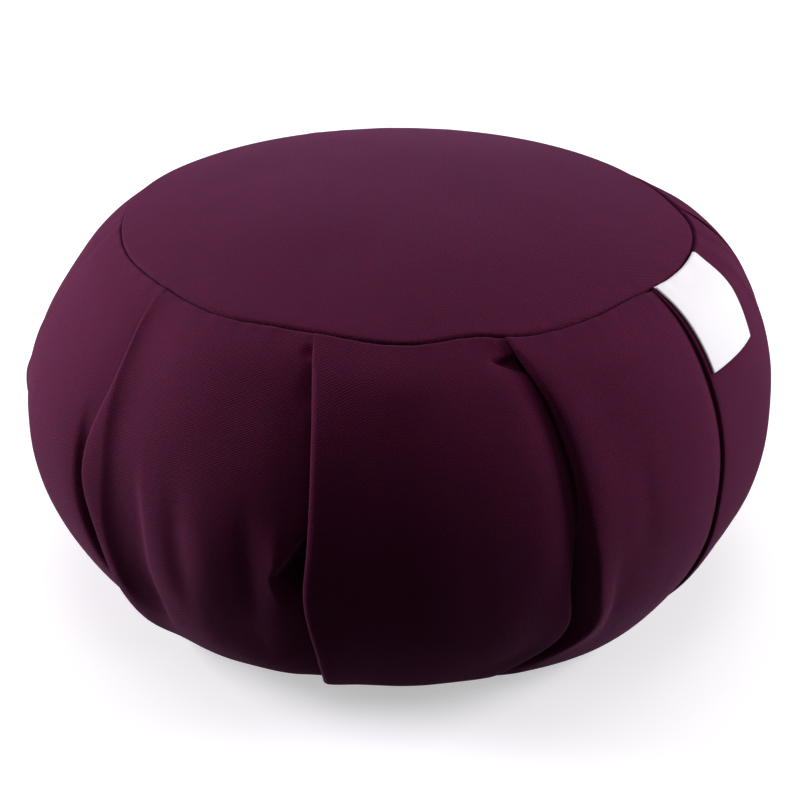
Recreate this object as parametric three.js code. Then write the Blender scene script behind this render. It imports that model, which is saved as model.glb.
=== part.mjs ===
import * as THREE from 'three';

// A round pleated floor cushion, in millimetres, +Z up. The origin is the centre of its base, on the
// surface that it rests on. -Y faces the viewer, and azimuths are degrees from there towards +X.

// Section of the side: two elliptical arcs that meet at the belly, where the cushion is widest. An
// angle of 0 degrees is the belly, negative angles are below it and positive ones above.
const girthRadius = 176.5;
const bellyHeight = 92;
const footCentre = 116;        // centre radius of the lower arc
const shoulderCentre = 97;     // centre radius of the upper arc
const shoulderRise = 94;       // height of the upper arc, were it a full quarter
const bottomAngle = -76;       // the side starts here, at the bottom seam
const topAngle = 62;           // and ends here, at the top seam
const topShift = 1.5;          // the top sits this far towards +X
const seamSpread = 0.6;        // how much of the seam's wander goes outwards
const seamDrop = 0.2;          // and how much goes down
const seamReach = 15;          // the wander fades out at this section angle

// Cloth and seams.
const clothThickness = 2;
const pieceGap = 0.3;
const seamRoll = 1.8;          // radius of the rolled edge on each side of a seam
const labelThickness = 1;
const labelClearance = 0.6;

// Crown of the top panel and flat of the bottom panel.
const crownRise = 22.2;
const crownPower = 2.4;
const rimHold = 14;            // how closely the folds' steps stay at the crown's rim
const rimLift = 0.85;          // the crown meets its rim this share of the roll's radius up
const rimDepth = 1.1;          // the panels' edges reach this far past their rolls
const flatRadius = 118;

// Knife pleats: the left edge of each side panel is folded over the panel on its left.
const noseRadius = 1.3;        // radius of the folded edge, and a smaller one where the fold is thin
const noseShare = 0.42;        // of the fold's height
const thinNose = 0.2;
const fullTuck = 6;            // a fold this deep is fully formed
const columnStep = 1.2;        // spacing of the fold's columns where it is sewn flat
const lipWidth = 13;
const wellWidth = 10;
const creaseScale = 88;        // millimetres along the section in a radian of its angle

// Angles of the section at which the pleats are described.
const stations = { bottom: -76, foot: -50, low: -35, under: -10, over: 5, shoulder: 35, top: 62 };

// Lip is how far the folded edge stands out, lead how far its crest lies from the edge, sink how far the
// cloth beside it is drawn in and reach how widely, and well the depth of the valley on the panel's own
// side. Tuck is how deep the fold goes, negative where the panel on its left lies on top.
const none = { bottom: 0, foot: 0, low: 0, under: 0, over: 0, shoulder: 0, top: 0 };
const usualFold = {
  lip: { bottom: 1, foot: 4, low: 4.5, under: 4, over: 3.5, shoulder: 3, top: 0.5 },
  lead: none,
  sink: { bottom: 0, foot: 2.5, low: 3, under: 2.5, over: 1.5, shoulder: 1.5, top: 0.1 },
  reach: { bottom: 12, foot: 12, low: 12, under: 12, over: 12, shoulder: 12, top: 12 },
  well: none,
  tuck: { bottom: 0, foot: 8, low: 9, under: 9, over: 9, shoulder: 9, top: 0 },
};
const narrowFold = {
  lip: { bottom: 1, foot: 2.6, low: 3, under: 2.6, over: 2.2, shoulder: 2, top: 0.5 },
  lead: none,
  sink: { bottom: 0, foot: 1.5, low: 1.5, under: 1.5, over: 1.2, shoulder: 1, top: 0.1 },
  reach: { bottom: 8, foot: 7, low: 6, under: 5, over: 5, shoulder: 5, top: 6 },
  well: none,
  tuck: { bottom: 0, foot: 8, low: 9, under: 9, over: 9, shoulder: 9, top: 0 },
};
const openFold = {
  lip: { bottom: 1, foot: 1.5, low: 3, under: 4, over: 4, shoulder: 3.5, top: 0.5 },
  lead: { bottom: 0, foot: 8, low: 14, under: 16, over: 14, shoulder: 7, top: 0 },
  sink: { bottom: -0.3, foot: -1.8, low: -1.5, under: 0.5, over: 2.5, shoulder: 2.5, top: 0.1 },
  reach: { bottom: 12, foot: 12, low: 10, under: 8, over: 9, shoulder: 9, top: 12 },
  well: { bottom: 1, foot: 4, low: 8, under: 8, over: 4.5, shoulder: 1, top: 0 },
  tuck: { bottom: 0, foot: -7, low: -8, under: -6, over: 2, shoulder: 9, top: 0 },
};

// One row for each pleat: the azimuth of its folded edge at each station.
const pleats = [
  { fold: narrowFold, bottom: -88, foot: -88, low: -87, under: -87, over: -87, shoulder: -87, top: -88 },
  { fold: usualFold, bottom: -51, foot: -49, low: -48, under: -50, over: -51.3, shoulder: -48.3, top: -51.5 },
  { fold: usualFold, bottom: -15, foot: -12.5, low: -12.8, under: -12.8, over: -12.3, shoulder: -12.6, top: -15 },
  { fold: openFold, bottom: 19, foot: 17, low: 26, under: 24, over: 23.7, shoulder: 22.1, top: 19 },
  { fold: narrowFold, bottom: 58, foot: 58, low: 56.5, under: 53.8, over: 53.9, shoulder: 53.5, top: 53.6 },
  { fold: narrowFold, bottom: 96, foot: 95, low: 94, under: 94, over: 94, shoulder: 95, top: 97 },
  { fold: usualFold, bottom: 128, foot: 126, low: 125, under: 124, over: 124, shoulder: 125, top: 127 },
  { fold: usualFold, bottom: 161, foot: 160, low: 159, under: 159, over: 158, shoulder: 159, top: 161 },
  { fold: usualFold, bottom: 197, foot: 195, low: 194, under: 195, over: 195, shoulder: 196, top: 198 },
  { fold: usualFold, bottom: 234, foot: 233, low: 232, under: 232, over: 233, shoulder: 234, top: 235 },
];

// One row for each side panel, from its own pleat to the next. Foot, belly and shoulder are how far it
// stands out there, puff is its fullness between the pleats, and the seam values are how far the top
// seam wanders outwards near the pleat, in the middle and before the next pleat.
const panels = [
  { foot: -2.5, belly: 4, shoulder: -4, puff: 2.5, seamNear: 2, seamMiddle: 0, seamFar: -2 },
  { foot: -2, belly: 0, shoulder: 0, puff: 2, seamNear: -2, seamMiddle: 1, seamFar: -2 },
  { foot: -3, belly: 0, shoulder: 0, puff: 2, seamNear: -1, seamMiddle: 4, seamFar: -1 },
  { foot: -3, belly: 0.5, shoulder: 0, puff: 3, seamNear: 3.5, seamMiddle: 2, seamFar: -1 },
  { foot: -3.5, belly: 0, shoulder: 2, puff: 2, seamNear: 2, seamMiddle: 5, seamFar: 5 },
  { foot: -3, belly: 1.5, shoulder: 1.5, puff: 2, seamNear: 0, seamMiddle: -4, seamFar: -4 },
  { foot: -2, belly: 0, shoulder: -4, puff: 2.5, seamNear: -4, seamMiddle: -5, seamFar: -6 },
  { foot: -2, belly: 0, shoulder: 0, puff: 2.5, seamNear: -4, seamMiddle: 0, seamFar: 1 },
  { foot: -2, belly: 0, shoulder: -1, puff: 2.5, seamNear: 2, seamMiddle: 3, seamFar: 4 },
  { foot: -3, belly: 3.5, shoulder: -4.5, puff: 2.5, seamNear: 7, seamMiddle: 7, seamFar: 3 },
];
const seamPlaces = { seamNear: 0.04, seamMiddle: 0.5, seamFar: 0.86 };

// Main hollows (negative) and ridges (positive) of the side panels. Across and along are their half
// sizes, and slant turns them, with their lower end towards +X.
const dents = [
  { panel: 0, azimuth: -53.5, angle: -3, across: 5, along: 30, height: -2.6, slant: 2 },
  { panel: 1, azimuth: -43, angle: 8, across: 5, along: 40, height: -1.6, slant: 2 },
  { panel: 1, azimuth: -37, angle: -10, across: 6, along: 24, height: 1.2, slant: 4 },
  { panel: 1, azimuth: -14.6, angle: -5, across: 8, along: 21, height: -8, slant: 0 },
  { panel: 2, azimuth: 17.8, angle: 53, across: 4, along: 10, height: -3, slant: 80 },
  { panel: 3, azimuth: 26.5, angle: -9, across: 6, along: 20, height: -2, slant: 10 },
];

// Rows of the mesh, as angles of the section, and columns between one pleat and the next.
const wallRows = [-76, -71, -64, -55, -45, -34, -22, -10, 2, 14, 26, 37, 46, 54, 59, 62];
const panelColumns = 6;
const columnCrowding = 0.1;
const crownRings = [0.22, 0.42, 0.6, 0.76, 0.9];
const underRings = [0.42, 0.76];
const bottomRing = 60;

// The label, sewn in at the top seam: azimuths of its two sides there and at its hem.
const label = {
  topAngle: 61.3, hemAngle: 32.5, topLeft: 54.8, topRight: 74.4, hemLeft: 54.6, hemRight: 69.4,
  columns: 7, rows: 7,
};

const plumCloth = { color: 0x54203c, roughness: 0.92, metalness: 0 };
const labelCloth = { color: 0xf2f1ee, roughness: 0.85, metalness: 0 };

const radians = THREE.MathUtils.degToRad;
const bump = (x, width) => Math.exp(-((x / width) ** 2));
const clamp01 = (x) => THREE.MathUtils.clamp(x, 0, 1);
const ease = (x) => THREE.MathUtils.smoothstep(x, 0, 1);

// Smooth curve through the points (xs, ys): a cubic between each two, with slopes from the neighbours.
function smoothCurve(x, xs, ys) {
  const last = xs.length - 1;
  const rise = (i) => (ys[i + 1] - ys[i]) / (xs[i + 1] - xs[i]);
  const slope = (i) => {
    if (i === 0) return rise(0);
    if (i === last) return rise(last - 1);
    const before = xs[i] - xs[i - 1];
    const after = xs[i + 1] - xs[i];
    return (before * rise(i) + after * rise(i - 1)) / (before + after);
  };
  let i = 0;
  while (i < last - 1 && x >= xs[i + 1]) i += 1;
  const span = xs[i + 1] - xs[i];
  const t = clamp01((x - xs[i]) / span);
  return (1 + 2 * t) * (1 - t) ** 2 * ys[i] + t * (1 - t) ** 2 * span * slope(i)
    + t * t * (3 - 2 * t) * ys[i + 1] + t * t * (t - 1) * span * slope(i + 1);
}

// A curve that comes round to its start after 360 degrees.
function smoothRound(azimuth, xs, ys) {
  const last = xs.length - 1;
  const roundXs = [xs[last - 1] - 360, xs[last] - 360, ...xs, xs[0] + 360, xs[1] + 360];
  const roundYs = [ys[last - 1], ys[last], ...ys, ys[0], ys[1]];
  const turns = Math.floor((azimuth - xs[0]) / 360);
  return smoothCurve(azimuth - turns * 360, roundXs, roundYs);
}

const alongFold = (row, angle) => {
  const names = Object.keys(stations);
  return smoothCurve(angle, names.map((name) => stations[name]), names.map((name) => row[name]));
};

const wrapped = (k) => (k + pleats.length) % pleats.length;
const foldAzimuth = (k, angle) => {
  const turns = Math.floor(k / pleats.length);
  return alongFold(pleats[wrapped(k)], angle) + 360 * turns;
};

const panelMiddles = panels.map((panel, k) => (foldAzimuth(k, 0) + foldAzimuth(k + 1, 0)) / 2);
const roundPanels = (azimuth, column) => smoothRound(azimuth, panelMiddles, panels.map((p) => p[column]));

// Radius, height and outward normal of the plain section at an angle.
function section(angle) {
  const centre = angle < 0 ? footCentre : shoulderCentre;
  const halfWidth = girthRadius - centre;
  const halfHeight = angle < 0 ? bellyHeight : shoulderRise;
  const c = Math.cos(radians(angle));
  const s = Math.sin(radians(angle));
  const normal = new THREE.Vector2(c / halfWidth, s / halfHeight).normalize();
  return { radius: centre + halfWidth * c, height: bellyHeight + halfHeight * s, normal };
}

// Slow change of the side from panel to panel.
const drift = (azimuth, angle) => roundPanels(azimuth, 'foot') * bump(angle + 45, 25)
  + roundPanels(azimuth, 'belly') * bump(angle, 30)
  + roundPanels(azimuth, 'shoulder') * bump(angle - 38, 24);

function dentHeight(k, azimuth, angle) {
  let height = 0;
  for (const dent of dents.filter((row) => row.panel === wrapped(k))) {
    const x = radians(azimuth - dent.azimuth) * section(angle).radius;
    const y = radians(angle - dent.angle) * creaseScale;
    const turn = radians(dent.slant);
    const over = x * Math.cos(turn) + y * Math.sin(turn);
    const down = y * Math.cos(turn) - x * Math.sin(turn);
    height += dent.height * bump(over, dent.across) * Math.exp(-(Math.abs(down / dent.along) ** 3));
  }
  return height;
}

// Height of panel k over the plain section, at a share from its own pleat (0) to the next (1).
function panelPoint(k, share, angle) {
  const left = foldAzimuth(k, angle);
  const right = foldAzimuth(k + 1, angle);
  const azimuth = left + (right - left) * share;
  const width = radians(right - left) * section(angle).radius;
  const fullness = ease((angle - bottomAngle) / 14) * ease((topAngle - angle) / 16);
  const puff = panels[wrapped(k)].puff * fullness * Math.sin(Math.PI * clamp01(share)) ** 0.8;
  const own = (column) => alongFold(pleats[wrapped(k)].fold[column], angle);
  const next = (column) => alongFold(pleats[wrapped(k + 1)].fold[column], angle);
  const lip = own('lip') * bump(share * width - own('lead'), lipWidth);
  const sink = next('sink') * bump((1 - share) * width, next('reach'));
  const well = own('well') * bump(share * width, wellWidth);
  const wrapTurn = 360 * Math.floor(k / pleats.length);
  const dent = dentHeight(k, azimuth - wrapTurn, angle);
  const height = drift(azimuth, angle) + puff + lip - sink - well + dent;
  return { azimuth, height };
}

// A fold as points from the panel that lies under it to the folded edge.
const foldPoints = (tuck, bed, outer, nose) => [
  { x: tuck, h: bed },
  { x: nose, h: outer - 2 * nose },
  { x: 0, h: outer - nose },
  { x: nose, h: outer },
];

// One row of the side: for each pleat its fold, from the deep end out to the folded edge, and then the
// panel up to the next pleat. A fold that is sewn flat has its columns side by side instead, and one
// that lies the other way has its points mirrored.
function wallRow(angle) {
  const row = [];
  const radius = section(angle).radius;
  for (let k = 0; k < pleats.length; k += 1) {
    const tuck = alongFold(pleats[k].fold.tuck, angle);
    const formed = clamp01(Math.abs(tuck) / fullTuck);
    const nextTuck = alongFold(pleats[wrapped(k + 1)].fold.tuck, angle);
    const nextFormed = clamp01(Math.abs(nextTuck) / fullTuck);
    const edge = foldAzimuth(k, angle);
    const width = radians(foldAzimuth(k + 1, angle) - edge) * radius;
    const after = panelPoint(k, 0, angle).height;
    const before = panelPoint(k - 1, 1, angle).height;
    const nose = THREE.MathUtils.clamp(noseShare * Math.abs(after - before), thinNose, noseRadius);
    const folded = tuck < 0
      ? foldPoints(-tuck, after, before, nose).toReversed().map(({ x, h }) => ({ x: -x, h }))
      : foldPoints(tuck, before, after, nose);
    const middle = (folded.length - 1) / 2;
    folded.forEach((point, j) => {
      const flatX = (j - middle) * columnStep;
      const flatH = THREE.MathUtils.lerp(before, after, ease(j / (folded.length - 1)));
      const x = THREE.MathUtils.lerp(flatX, point.x, formed);
      const height = THREE.MathUtils.lerp(flatH, point.h, formed);
      row.push({ azimuth: edge + THREE.MathUtils.radToDeg(x / radius), height });
    });
    const first = THREE.MathUtils.lerp(middle * columnStep, tuck < 0 ? 0 : nose, formed);
    const nextNose = nextTuck < 0 ? (noseRadius + columnStep) * nextFormed : 0;
    const last = width - nextNose - (middle + 1) * columnStep * (1 - nextFormed);
    for (let j = 1; j <= panelColumns + 1; j += 1) {
      const even = j / (panelColumns + 1);
      const share = even - columnCrowding * Math.sin(2 * Math.PI * even);
      row.push(panelPoint(k, (first + (last - first) * share) / width, angle));
    }
  }
  return row;
}

const seamNames = Object.keys(seamPlaces);
const seamAzimuths = panels.flatMap((panel, k) => seamNames.map((name) => THREE.MathUtils.lerp(
  foldAzimuth(k, topAngle), foldAzimuth(k + 1, topAngle), seamPlaces[name])));
const seamValues = panels.flatMap((panel) => seamNames.map((name) => panel[name]));
const seamWander = (azimuth) => smoothRound(azimuth, seamAzimuths, seamValues);

const polar = (azimuth, radius, height, shift) => new THREE.Vector3(
  radius * Math.sin(radians(azimuth)) + shift, -radius * Math.cos(radians(azimuth)), height);

// Radius and height of a point that stands h over the section at an azimuth and an angle.
function wallPlace(azimuth, angle, h) {
  const { radius, height, normal } = section(angle);
  const wander = seamWander(azimuth) * ease((angle - seamReach) / (topAngle - seamReach)) ** 2;
  return {
    azimuth,
    radius: radius + h * normal.x + seamSpread * wander,
    height: height + h * normal.y - seamDrop * wander,
    shift: topShift * ease(angle / topAngle),
  };
}
const wallPoint = (azimuth, angle, h) => {
  const place = wallPlace(azimuth, angle, h);
  return polar(azimuth, place.radius, place.height, place.shift);
};

// The edge of the side at a seam: its place, the centre of the roll that turns it in, and how far its
// folds make it stand out from the plain edge.
function seamEdge(angle) {
  const { normal } = section(angle);
  return wallRow(angle).map(({ azimuth, height }) => {
    const edge = wallPlace(azimuth, angle, height);
    return {
      ...edge,
      rollRadius: edge.radius - seamRoll * normal.x,
      rollHeight: edge.height - seamRoll * normal.y,
      standRadius: height * normal.x,
      standHeight: height * normal.y,
    };
  });
}
const topEdge = seamEdge(topAngle);
const bottomEdge = seamEdge(bottomAngle);

// A ring on a seam's roll. Turn is its angle, where 0 points outwards and 90 up.
const rollRing = (edge, turn) => edge.map((e) => polar(
  e.azimuth, e.rollRadius + seamRoll * Math.cos(radians(turn)),
  e.rollHeight + seamRoll * Math.sin(radians(turn)), e.shift));

// The panels end a gap inside the roll of the side's edge, with a roll of their own.
const rimRadius = (e) => e.rollRadius - seamRoll - pieceGap;
const rimRing = (edge) => (turn, lift = 0) => edge.map((e) => polar(
  e.azimuth, rimRadius(e) - seamRoll * (1 - Math.cos(radians(turn))),
  e.rollHeight + seamRoll * Math.sin(radians(turn)) + lift, e.shift));
const flatRing = (radius, height) => bottomEdge.map((e) => polar(e.azimuth, radius, height, 0));
const topHeight = section(topAngle).height;

// A ring of the crown at a share of the rim's radius. It meets the folds' small steps at its rim, and
// leaves them behind close to it.
function crownRing(share, drop, extra = 0) {
  const taken = 1 - share ** rimHold;
  return topEdge.map((e) => {
    const rim = e.rollHeight + seamRoll * rimLift - e.standHeight * taken;
    const middle = topHeight + crownRise;
    const height = rim + (middle - rim) * (1 - share ** crownPower);
    const radius = (rimRadius(e) - e.standRadius * taken) * share;
    return polar(e.azimuth, radius + extra, height - drop, e.shift);
  });
}

// A closed skin from rings of points, from the lower middle round the outside to the upper middle. Its
// four-sided cells are split along one diagonal or the other, so that a piece's skin can run parallel
// to its neighbour's.
function skin(lowerMiddle, rings, upperMiddle, otherDiagonal) {
  const columns = rings[0].length;
  const points = [...rings.flat(), lowerMiddle, upperMiddle];
  const lower = rings.length * columns;
  const index = [];
  for (let j = 0; j < columns; j += 1) {
    const next = (j + 1) % columns;
    index.push(lower, next, j);
    for (let i = 0; i < rings.length - 1; i += 1) {
      const [a, b] = [i * columns + j, i * columns + next];
      if (otherDiagonal) index.push(a, b, a + columns, b, b + columns, a + columns);
      else index.push(a, b, b + columns, a, b + columns, a + columns);
    }
    const final = (rings.length - 1) * columns;
    index.push(final + j, final + next, lower + 1);
  }
  return geometryFrom(points, index);
}

function geometryFrom(points, index) {
  const geometry = new THREE.BufferGeometry();
  const coordinates = points.flatMap((p) => p.toArray());
  geometry.setAttribute('position', new THREE.Float32BufferAttribute(coordinates, 3));
  geometry.setIndex(index);
  geometry.computeVertexNormals();
  return geometry;
}

// The filled side with its pleats. Its two ends are hollowed by the thickness of the panels.
function pleatedSide() {
  const belowCrown = clothThickness + pieceGap;
  const wall = wallRows.map((angle) => wallRow(angle).map((p) => wallPoint(p.azimuth, angle, p.height)));
  const rings = [
    flatRing(bottomRing, clothThickness + pieceGap),
    flatRing(flatRadius, clothThickness + pieceGap),
    bottomEdge.map((e) => polar(e.azimuth, e.rollRadius - seamRoll, e.rollHeight + rimDepth + pieceGap, 0)),
    rollRing(bottomEdge, 180),
    rollRing(bottomEdge, 235),
    ...wall,
    rollRing(topEdge, 120),
    rollRing(topEdge, 180),
    crownRing(1, belowCrown + rimDepth, pieceGap),
    ...underRings.toReversed().map((share) => crownRing(share, belowCrown)),
  ];
  const middle = new THREE.Vector3(0, 0, clothThickness + pieceGap);
  const top = new THREE.Vector3(topShift, 0, topHeight + crownRise - belowCrown);
  return skin(middle, rings, top, true);
}

// The round top panel, crowned, with its rim rolled into the seam.
function topPanel() {
  const rim = rimRing(topEdge);
  const rings = [
    ...underRings.map((share) => crownRing(share, clothThickness)),
    crownRing(1, clothThickness + rimDepth),
    rim(0),
    rim(50),
    ...crownRings.toReversed().map((share) => crownRing(share, 0)),
  ];
  const under = new THREE.Vector3(topShift, 0, topHeight + crownRise - clothThickness);
  const over = new THREE.Vector3(topShift, 0, topHeight + crownRise);
  return skin(under, rings, over, false);
}

// The round bottom panel: flat where it rests, and rising to the bottom seam outside that.
function bottomPanel() {
  const rim = rimRing(bottomEdge);
  const rings = [
    flatRing(bottomRing, 0),
    flatRing(flatRadius, 0),
    rim(-53),
    rim(0),
    rim(0, rimDepth),
    flatRing(flatRadius, clothThickness),
    flatRing(bottomRing, clothThickness),
  ];
  return skin(new THREE.Vector3(0, 0, 0), rings, new THREE.Vector3(0, 0, clothThickness), false);
}

// The label: a sheet that lies over the side, a little clear of it.
function labelSheet() {
  const { columns, rows } = label;
  const panel = 4;
  const side = (lift) => {
    const points = [];
    for (let i = 0; i < rows; i += 1) {
      const up = i / (rows - 1);
      const angle = THREE.MathUtils.lerp(label.hemAngle, label.topAngle, up);
      const left = THREE.MathUtils.lerp(label.hemLeft, label.topLeft, up);
      const right = THREE.MathUtils.lerp(label.hemRight, label.topRight, up);
      const start = foldAzimuth(panel, angle);
      const span = foldAzimuth(panel + 1, angle) - start;
      for (let j = 0; j < columns; j += 1) {
        const azimuth = THREE.MathUtils.lerp(left, right, j / (columns - 1));
        const { height } = panelPoint(panel, (azimuth - start) / span, angle);
        points.push(wallPoint(azimuth, angle, height + lift));
      }
    }
    return points;
  };
  const points = [...side(labelClearance), ...side(labelClearance + labelThickness)];
  const outer = rows * columns;
  const index = [];
  for (let i = 0; i < rows - 1; i += 1) {
    for (let j = 0; j < columns - 1; j += 1) {
      const a = i * columns + j;
      const b = a + columns;
      index.push(outer + a, outer + a + 1, outer + b + 1, outer + a, outer + b + 1, outer + b);
      index.push(a, b + 1, a + 1, a, b, b + 1);
    }
  }
  const border = [];
  for (let j = 0; j < columns - 1; j += 1) border.push(j);
  for (let i = 0; i < rows - 1; i += 1) border.push(i * columns + columns - 1);
  for (let j = columns - 1; j > 0; j -= 1) border.push((rows - 1) * columns + j);
  for (let i = rows - 1; i > 0; i -= 1) border.push(i * columns);
  border.forEach((a, n) => {
    const b = border[(n + 1) % border.length];
    index.push(a, b, outer + b, a, outer + b, outer + a);
  });
  return geometryFrom(points, index);
}

function piece(name, geometry, finish) {
  const mesh = new THREE.Mesh(geometry, new THREE.MeshStandardMaterial(finish));
  mesh.name = name;
  return mesh;
}

const cushion = new THREE.Group();
cushion.add(
  piece('pleated_side', pleatedSide(), plumCloth),
  piece('top_panel', topPanel(), plumCloth),
  piece('bottom_panel', bottomPanel(), plumCloth),
  piece('side_label', labelSheet(), labelCloth),
);

export default cushion;
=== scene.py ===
import math

import bpy
import numpy as np
from mathutils import Matrix, Vector


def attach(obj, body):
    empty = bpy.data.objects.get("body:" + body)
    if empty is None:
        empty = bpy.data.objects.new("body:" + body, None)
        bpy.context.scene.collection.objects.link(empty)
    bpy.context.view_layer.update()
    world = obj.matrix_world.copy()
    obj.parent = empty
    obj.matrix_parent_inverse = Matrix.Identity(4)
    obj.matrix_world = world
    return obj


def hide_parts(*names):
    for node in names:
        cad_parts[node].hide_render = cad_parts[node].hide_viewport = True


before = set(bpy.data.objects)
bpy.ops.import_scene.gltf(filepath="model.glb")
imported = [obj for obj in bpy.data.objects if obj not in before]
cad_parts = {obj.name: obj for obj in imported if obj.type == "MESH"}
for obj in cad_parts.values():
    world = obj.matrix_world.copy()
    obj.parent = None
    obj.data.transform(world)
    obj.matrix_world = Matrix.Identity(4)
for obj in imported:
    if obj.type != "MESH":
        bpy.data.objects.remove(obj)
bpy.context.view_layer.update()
print("frame loaded:", sorted(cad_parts))

scene = bpy.context.scene
scene.view_settings.view_transform = "Standard"
mm = 0.001

cameraSetup = {
    "target": (-0.0001, 0.0, 0.0801),  # metres
    "distance": 0.9474,
    "elevation": 27.02,  # degrees above the floor
    "roll": 0.373,  # degrees
    "lens": 85.9,  # on a sensor 36 mm wide
}


def makeCamera(setup):
    # looks along +Y and down, and is rolled a little about its own axis
    turn = Matrix.Rotation(math.radians(90 - setup["elevation"]), 4, "X")
    turn = turn @ Matrix.Rotation(math.radians(setup["roll"]), 4, "Z")
    place = Vector(setup["target"]) + turn @ Vector((0, 0, setup["distance"]))
    data = bpy.data.cameras.new("viewCamera")
    data.lens = setup["lens"]
    data.sensor_width = 36
    camera = bpy.data.objects.new("viewCamera", data)
    camera.matrix_world = Matrix.Translation(place) @ turn
    scene.collection.objects.link(camera)
    scene.camera = camera


makeCamera(cameraSetup)
print("camera placed")


# plain curves and noise that every piece uses


def bump(x, width):
    # a bell: one at the middle, falling with the square of x over width
    return np.exp(-((x / width) ** 2))


def ease(t):
    # 3 t squared less 2 t cubed, between 0 and 1
    t = np.clip(t, 0, 1)
    return t * t * (3 - 2 * t)


def smoothCurve(x, xs, ys):
    # a cubic between each two points, whose slope at a point is the mean of the slopes beside it,
    # each weighted by the other's width
    xs, ys = np.asarray(xs, float), np.asarray(ys, float)
    width = np.diff(xs)
    rise = np.diff(ys) / width
    inner = (width[:-1] * rise[1:] + width[1:] * rise[:-1]) / (width[:-1] + width[1:])
    slope = np.concatenate([rise[:1], inner, rise[-1:]])
    i = np.clip(np.searchsorted(xs, x, side="right") - 1, 0, len(xs) - 2)
    t = np.clip((x - xs[i]) / width[i], 0, 1)
    return (
        (1 + 2 * t) * (1 - t) ** 2 * ys[i]
        + t * (1 - t) ** 2 * width[i] * slope[i]
        + t * t * (3 - 2 * t) * ys[i + 1]
        + t * t * (t - 1) * width[i] * slope[i + 1]
    )


def roundCurve(azimuth, xs, ys):
    # the same curve, closed on itself after 360 degrees
    xs, ys = np.asarray(xs, float), np.asarray(ys, float)
    xs = np.concatenate([xs[-2:] - 360, xs, xs[:2] + 360])
    ys = np.concatenate([ys[-2:], ys, ys[:2]])
    return smoothCurve((azimuth - xs[2]) % 360 + xs[2], xs, ys)


def softNoise(across, up, cells, rows, seed):
    # random heights on a lattice of cells by rows, eased from one to the next; across and up run from
    # 0 to 1, and across closes on itself
    lattice = np.random.default_rng(seed).uniform(-1, 1, (rows + 2, cells))
    x, y = np.asarray(across) % 1 * cells, np.clip(up, 0, 1) * rows
    i, j = np.floor(x).astype(int) % cells, np.floor(y).astype(int)
    a, b = ease(x - np.floor(x)), ease(y - np.floor(y))
    low = lattice[j, i] * (1 - a) + lattice[j, (i + 1) % cells] * a
    high = lattice[j + 1, i] * (1 - a) + lattice[j + 1, (i + 1) % cells] * a
    return low * (1 - b) + high * b


def polar(azimuth, radius, height, shift=0.0):
    # azimuth 0 is towards the viewer, along -Y, and 90 is along +X
    turn = np.radians(azimuth)
    x, y = radius * np.sin(turn) + shift, -radius * np.cos(turn)
    return np.stack(np.broadcast_arrays(x, y, height), -1)


def addSurface(name, points, quads, triangles, quadUv, triangleUv):
    # one mesh from whole arrays, in millimetres, with its own UV map in metres
    mesh = bpy.data.meshes.new(name)
    corners = np.concatenate([quads.ravel(), triangles.ravel()])
    starts = np.concatenate([
        np.arange(len(quads)) * 4,
        len(quads) * 4 + np.arange(len(triangles)) * 3,
    ])
    mesh.vertices.add(len(points))
    mesh.loops.add(len(corners))
    mesh.polygons.add(len(starts))
    mesh.vertices.foreach_set("co", (points * mm).astype(np.float32).ravel())
    mesh.loops.foreach_set("vertex_index", corners.astype(np.int32))
    mesh.polygons.foreach_set("loop_start", starts.astype(np.int32))
    mesh.polygons.foreach_set("use_smooth", np.ones(len(starts), bool))
    uv = mesh.uv_layers.new(name="clothUv")
    flat = np.concatenate([quadUv.reshape(-1, 2), triangleUv.reshape(-1, 2)]) * mm
    uv.data.foreach_set("uv", flat.astype(np.float32).ravel())
    mesh.update()
    mesh.validate()
    piece = bpy.data.objects.new(name, mesh)
    scene.collection.objects.link(piece)
    return piece


def roundSkin(name, rings, uv, lowerMiddle, upperMiddle):
    # rings of points, from a lower middle round the outside to an upper middle, as one closed skin
    rows, columns = rings.shape[:2]
    points = np.concatenate([rings.reshape(-1, 3), [lowerMiddle, upperMiddle]])
    i, j = np.meshgrid(np.arange(rows - 1), np.arange(columns), indexing="ij")
    a, b = i * columns + j, i * columns + (j + 1) % columns
    quads = np.stack([a, b, b + columns, a + columns], -1).reshape(-1, 4)
    quadUv = np.stack([uv[:-1, :-1], uv[:-1, 1:], uv[1:, 1:], uv[1:, :-1]], 2)
    k = np.arange(columns)
    nextK = (k + 1) % columns
    lower = np.stack([np.full(columns, rows * columns), nextK, k], -1)
    final = (rows - 1) * columns
    upper = np.stack([final + k, final + nextK, np.full(columns, rows * columns + 1)], -1)
    middleUv = [np.broadcast_to(ring.mean(0), ring[1:].shape) for ring in (uv[0], uv[-1])]
    lowerUv = np.stack([middleUv[0], uv[0, 1:], uv[0, :-1]], 1)
    upperUv = np.stack([uv[-1, :-1], uv[-1, 1:], middleUv[1]], 1)
    triangleUv = np.concatenate([lowerUv, upperUv])
    return addSurface(name, points, quads, np.concatenate([lower, upper]), quadUv, triangleUv)


# the pleated side: a filled band whose panels are folded over each other

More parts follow.
